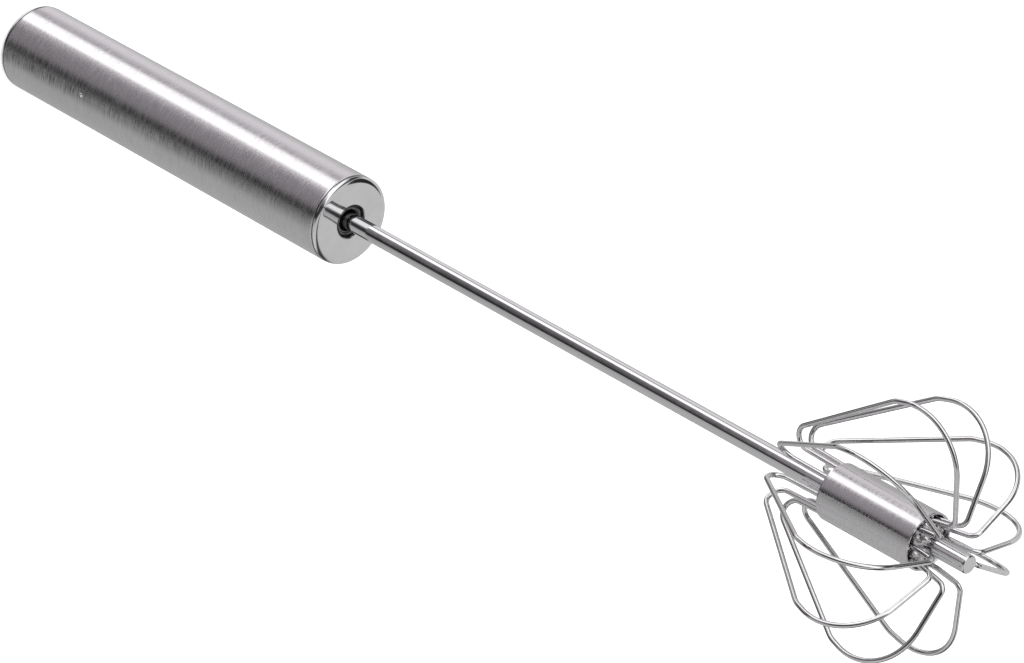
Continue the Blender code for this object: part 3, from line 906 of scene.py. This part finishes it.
class Tent:
    """The world: an even pale light for the floor, and bands of light in what metal mirrors."""

    def __init__(self):
        world = bpy.data.worlds.new("tent")
        bpy.context.scene.world = world
        world.use_nodes = True
        self.tree = world.node_tree
        self.tree.nodes.clear()

    def node(self, kind, **settings):
        made = self.tree.nodes.new(kind)
        for key, value in settings.items():
            setattr(made, key, value)
        return made

    def join(self, source, target):
        self.tree.links.new(source, target)

    def ramp(self, source, stops):
        """Brightness by a share of the way round, from stops of (azimuth, level, green)."""
        ramp = self.node("ShaderNodeValToRGB")
        elements = ramp.color_ramp.elements
        while len(elements) > 1:
            elements.remove(elements[-1])
        for index, (angle, level, green) in enumerate(stops):
            share = (angle + 180.0) / 360.0
            element = elements[0] if index == 0 else elements.new(share)
            element.position = share
            element.color = grey(level, green)
        self.join(source, ramp.inputs["Fac"])
        return ramp.outputs["Color"]

    def span(self, source, low, high, start=0.0, end=1.0):
        """Maps a value from low..high to start..end, and holds it there."""
        spread = self.node("ShaderNodeMapRange")
        for name, value in (("From Min", low), ("From Max", high), ("To Min", start), ("To Max", end)):
            spread.inputs[name].default_value = value
        self.join(source, spread.inputs["Value"])
        return spread.outputs["Result"]

    def mix(self, share, first, second, blend="MIX"):
        mixed = self.node("ShaderNodeMixRGB", blend_type=blend)
        self.join(share, mixed.inputs["Fac"])
        for socket, colour in ((mixed.inputs["Color1"], first), (mixed.inputs["Color2"], second)):
            if isinstance(colour, tuple):
                socket.default_value = grey(*colour)
            else:
                self.join(colour, socket)
        return mixed.outputs["Color"]

    def maths(self, operation, first, second):
        made = self.node("ShaderNodeMath", operation=operation)
        for socket, value in zip(made.inputs, (first, second)):
            if isinstance(value, float):
                socket.default_value = value
            else:
                self.join(value, socket)
        return made.outputs[0]

    def build(self):
        place = self.node("ShaderNodeTexCoord")
        axes = self.node("ShaderNodeSeparateXYZ")
        self.join(place.outputs["Generated"], axes.inputs["Vector"])
        height = axes.outputs["Z"]
        toward = self.maths("MULTIPLY", axes.outputs["Y"], -1.0)
        azimuth = self.maths("ARCTAN2", axes.outputs["X"], toward)
        near = self.maths("DIVIDE", self.maths("MINIMUM", azimuth, TURN),
                          self.span(height, *NEAR_LEVELS, *NEAR_WIDTHS))
        past = self.maths("MAXIMUM", self.maths("SUBTRACT", azimuth, TURN), 0.0)
        far = self.maths("DIVIDE", past, self.span(height, *FAR_LEVELS, *FAR_WIDTHS))
        opened = self.maths("ADD", near, far)
        low = self.ramp(self.span(opened, -math.pi, math.pi), LOW_BANDS)
        rise = self.span(height, *BOUNCE_RISE)
        under = self.maths("MULTIPLY", rise, self.span(height, *BOUNCE_FALL, 1.0, 0.0))
        over = self.span(height, *BOUNCE_RETURN)
        bounce = self.ramp(self.span(azimuth, -math.pi, math.pi), BOUNCE_BANDS)
        low = self.mix(self.maths("ADD", under, over), low, bounce, "ADD")
        high = self.ramp(self.span(azimuth, -math.pi, math.pi), HIGH_BANDS)
        sky = self.mix(self.span(height, LOW_HORIZON, HIGH_HORIZON), low, high)
        glowing = self.mix(self.span(height, *GLOW_LEVELS), (GLOW, 1.0), sky)
        lit = self.mix(self.span(height, *NADIR_LEVELS), NEAR_BLACK, glowing)
        card = self.node("ShaderNodeVectorMath", operation="DOT_PRODUCT")
        level = math.cos(CARD_HEIGHT)
        card.inputs[1].default_value = (level * math.sin(CARD_AZIMUTH), -level * math.cos(CARD_AZIMUTH),
                                        math.sin(CARD_HEIGHT))
        self.join(place.outputs["Generated"], card.inputs[0])
        covered = self.maths("MULTIPLY", self.span(card.outputs["Value"], *CARD_REACH),
                             self.span(height, *CARD_FOOT))
        carded = self.mix(covered, lit, NEAR_BLACK)
        mirrored = self.node("ShaderNodeBackground")
        self.join(carded, mirrored.inputs["Color"])
        even = self.node("ShaderNodeBackground")
        even.inputs["Color"].default_value = (1.0, 1.0, 1.0, 1.0)
        path = self.node("ShaderNodeLightPath")
        chosen = self.node("ShaderNodeMixShader")
        self.join(path.outputs["Is Glossy Ray"], chosen.inputs["Fac"])
        self.join(even.outputs[0], chosen.inputs[1])
        self.join(mirrored.outputs[0], chosen.inputs[2])
        output = self.node("ShaderNodeOutputWorld")
        self.join(chosen.outputs[0], output.inputs["Surface"])


LAMP_AIM = Vector((0, 0, 0.15))


def make_lamp(name, place, size, power):
    """A soft lamp that lights the floor and plastic. Metal mirrors only the tent."""
    lamp = bpy.data.lights.new(name, "AREA")
    lamp.size = size
    lamp.energy = power
    obj = bpy.data.objects.new(name, lamp)
    obj.location = place
    aim = LAMP_AIM - Vector(place)
    obj.rotation_euler = aim.to_track_quat("-Z", "Y").to_euler()
    obj.visible_glossy = False
    bpy.context.scene.collection.objects.link(obj)


CAMERA_PLACE = Vector((0.0, -0.7516, 0.8102))
CAMERA_AIM = Vector((0.0040, 0.0, 0.1807))
CAMERA_ROLL = -119.23
CAMERA_LENS = 154.3
CAMERA_SENSOR = 36.0


def make_camera():
    data = bpy.data.cameras.new("camera")
    data.lens = CAMERA_LENS
    data.sensor_width = CAMERA_SENSOR
    camera = bpy.data.objects.new("camera", data)
    bpy.context.scene.collection.objects.link(camera)
    forward = (CAMERA_AIM - CAMERA_PLACE).normalized()
    upright = forward.to_track_quat("-Z", "Y").to_matrix()
    roll = Matrix.Rotation(math.radians(CAMERA_ROLL), 3, forward)
    camera.location = CAMERA_PLACE
    camera.rotation_euler = (roll @ upright).to_euler()
    bpy.context.scene.camera = camera


make_floor()
Tent().build()
make_lamp("key_lamp", (-0.9, -0.6, 1.6), 1.2, 14.0)
make_camera()
bpy.context.scene.view_settings.view_transform = "Standard"
